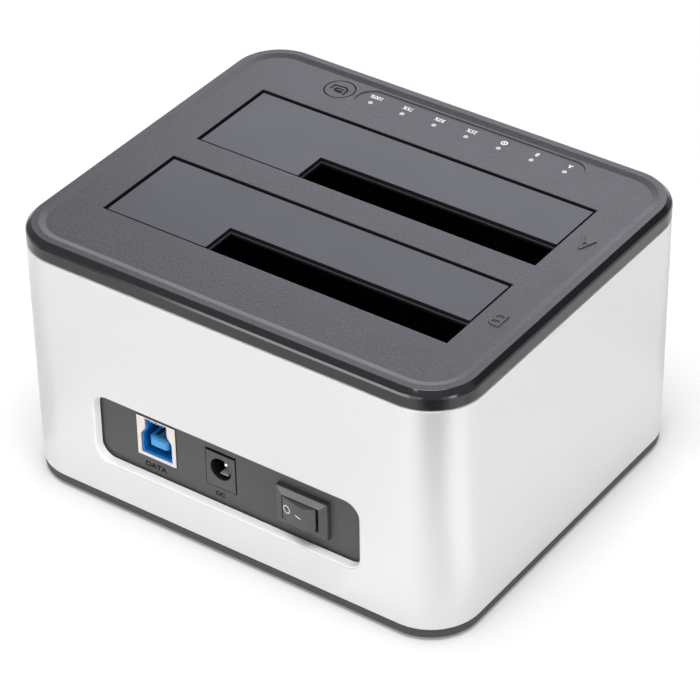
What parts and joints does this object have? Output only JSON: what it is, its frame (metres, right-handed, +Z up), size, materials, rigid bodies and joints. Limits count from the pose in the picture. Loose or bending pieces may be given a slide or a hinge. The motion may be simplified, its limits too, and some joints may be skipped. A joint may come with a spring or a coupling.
{
  "type": "hard drive docking station",
  "caption": "Desktop dock that holds upright hard drives in bays with spring flaps, with an aluminium sleeve, data and power sockets, a rocker switch and a copy button.",
  "frame": {"origin": "on the table below the middle of the body", "axes": "+Z up, +X along the long side to the right as seen from the ports, -Y towards the port side"},
  "size_m": [0.1334, 0.1127, 0.0757],
  "materials": {
    "sleeve_aluminium": "fine bead-blasted, clear anodised",
    "cover_plastic": "fine spark texture with a glossy bevel",
    "base_plastic": "fine texture",
    "frame_plastic": "black, matt",
    "panel_plastic": "fine texture",
    "flap_plastic": "smooth satin",
    "steel": "bright zinc",
    "spring_steel": "drawn wire",
    "button_plastic": "fine texture",
    "black_plastic": "moulded",
    "circuit_board": "solder resist",
    "light_white": "clear lens",
    "clear_plastic": "moulded clear",
    "ribbon_grey": "flat cable",
    "ivory_plastic": "moulded",
    "connector_black": "moulded",
    "gold_contact": "gold flash",
    "capacitor_sleeve": "heat-shrunk sleeve",
    "tin_plate": "bright tin",
    "blue_insulator": "moulded",
    "blue_tongue": "moulded",
    "socket_plastic": "moulded",
    "switch_plastic": "fine texture",
    "rocker_plastic": "satin",
    "lead_red": "insulated wire",
    "foot_rubber": "matt",
    "print_white": "printed figures and signs",
    "print_black": "printed words and signs"
  },
  "bodies": {
    "dock": {"outer_sleeve": "sleeve_aluminium", "top_cover": "cover_plastic", "base_plate": "base_plastic", "bay_frame": "frame_plastic", "port_panel": "panel_plastic", "hinge_rod_a": "steel", "hinge_rod_b": "steel", "flap_spring_a": "spring_steel", "flap_spring_b": "spring_steel", "key_switch": "black_plastic", "indicator_board": "circuit_board", "indicator_lights": "light_white", "light_guides": "clear_plastic", "indicator_screws": "steel", "indicator_ribbon": "ribbon_grey", "ribbon_plugs": "ivory_plastic", "main_board": "circuit_board", "drive_connector_a": "connector_black", "drive_connector_b": "connector_black", "drive_contacts_a": "gold_contact", "drive_contacts_b": "gold_contact", "bridge_chip": "black_plastic", "capacitors": "capacitor_sleeve", "choke_coil": "black_plastic", "usb_shell": "tin_plate", "usb_insulator": "blue_insulator", "usb_tongue": "blue_tongue", "usb_contacts": "gold_contact", "dc_housing": "socket_plastic", "dc_centre_pin": "tin_plate", "dc_spring_contact": "tin_plate", "switch_housing": "switch_plastic", "switch_terminals": "gold_contact", "switch_leads": "lead_red", "base_screws": "steel", "frame_screws": "steel", "board_screws": "steel", "foot_front_left": "foot_rubber", "foot_front_right": "foot_rubber", "foot_back_left": "foot_rubber", "foot_back_right": "foot_rubber"},
    "flap_a": {"flap_a": "flap_plastic"},
    "flap_b": {"flap_b": "flap_plastic"},
    "copy_button": {"copy_button": "button_plastic", "key_plunger": "black_plastic"},
    "switch_rocker": {"switch_rocker": "rocker_plastic"}
  },
  "joints": [
    {"name": "flap_a_hinge", "type": "hinge", "parent": "dock", "child": "flap_a", "pos_m": [0, 0.0361, 0.0704], "axis": [1, 0, 0], "range_deg": [0, 90], "stiffness_Nm_per_rad": 0.004, "springref_deg": -42.97, "deforming": ["flap_spring_a"]},
    {"name": "flap_b_hinge", "type": "hinge", "parent": "dock", "child": "flap_b", "pos_m": [0, -0.0028, 0.0704], "axis": [1, 0, 0], "range_deg": [0, 90], "stiffness_Nm_per_rad": 0.004, "springref_deg": -42.97, "deforming": ["flap_spring_b"]},
    {"name": "copy_button_press", "type": "slide", "parent": "dock", "child": "copy_button", "axis": [0, 0, -1], "range_m": [0, 0.0008], "stiffness_N_per_m": 600, "springref_m": -0.0005},
    {"name": "switch_rocker_tilt", "type": "hinge", "parent": "dock", "child": "switch_rocker", "pos_m": [0.0225, -0.0494, 0.02375], "axis": [0, 0, 1], "range_deg": [0, 28]}
  ]
}
